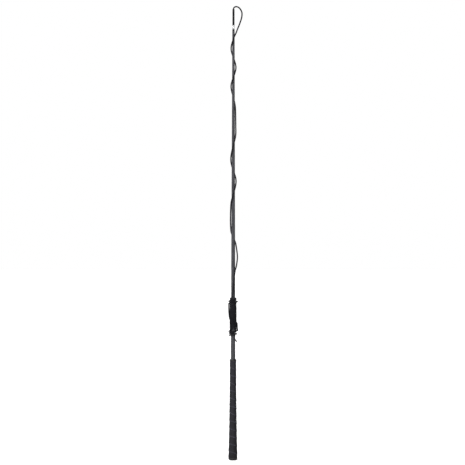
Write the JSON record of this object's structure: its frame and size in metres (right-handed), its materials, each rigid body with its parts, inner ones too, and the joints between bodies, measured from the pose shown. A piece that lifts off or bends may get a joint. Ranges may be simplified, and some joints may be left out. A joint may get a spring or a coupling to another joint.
{
  "type": "lunge whip",
  "caption": "Lunge whip: braided tapered shaft, taped flared handle, and a cord lash on a tip swivel, wound down the shaft and tied above the grip.",
  "frame": {"origin": "on the shaft's axis in the middle of the taped grip, 180 mm above the butt end, where the hand holds the whip", "axes": "+Z along the whip from the butt to the tip; -Y is the front, the side that the lash's hank lies on; +X is to the right seen from the front, towards the side of the loop"},
  "size_m": [0.0497, 0.0348, 1.6004],
  "materials": {
    "shaft_braid": "tight braided nylon, slightly waxed",
    "thread_whipping": "thread binding, matt",
    "fibreglass": "drawn fibreglass rod",
    "filler_yarn": "laid yarn",
    "cap_rubber": "moulded, matt",
    "former_foam": "foamed plastic",
    "grip_tape": "wound soft tape with a fine grain",
    "collar_rubber": "moulded, matt",
    "nickel": "bright nickel",
    "pin_steel": "turned",
    "washer_nylon": "natural nylon",
    "lash_cord": "round braided nylon cord",
    "keeper_sleeve": "close-woven sleeve over the bound cord",
    "popper_cord": "twisted thin cord, fraying at its end"
  },
  "bodies": {
    "stick": {"core_rod": "fibreglass", "core_filler": "filler_yarn", "shaft_cover": "shaft_braid", "tip_collar": "thread_whipping", "butt_cap": "cap_rubber", "handle_former": "former_foam", "grip_tape": "grip_tape", "grip_collar": "collar_rubber", "swivel_barrel": "nickel", "swivel_washer": "washer_nylon", "lash_run": "lash_cord", "lash_hank": "lash_cord", "lash_top_wrap": "lash_cord", "lash_low_wraps": "lash_cord", "lash_knot": "lash_cord", "lash_popper": "popper_cord"},
    "swivel_head": {"swivel_pin": "pin_steel", "swivel_cup": "nickel", "lash_bound_end": "lash_cord", "lash_keeper": "keeper_sleeve"}
  },
  "joints": [
    {"name": "lash_swivel", "type": "hinge", "parent": "stick", "child": "swivel_head", "pos_m": [0, 0, 1.3447], "axis": [0, 0, 1], "continuous": true}
  ]
}
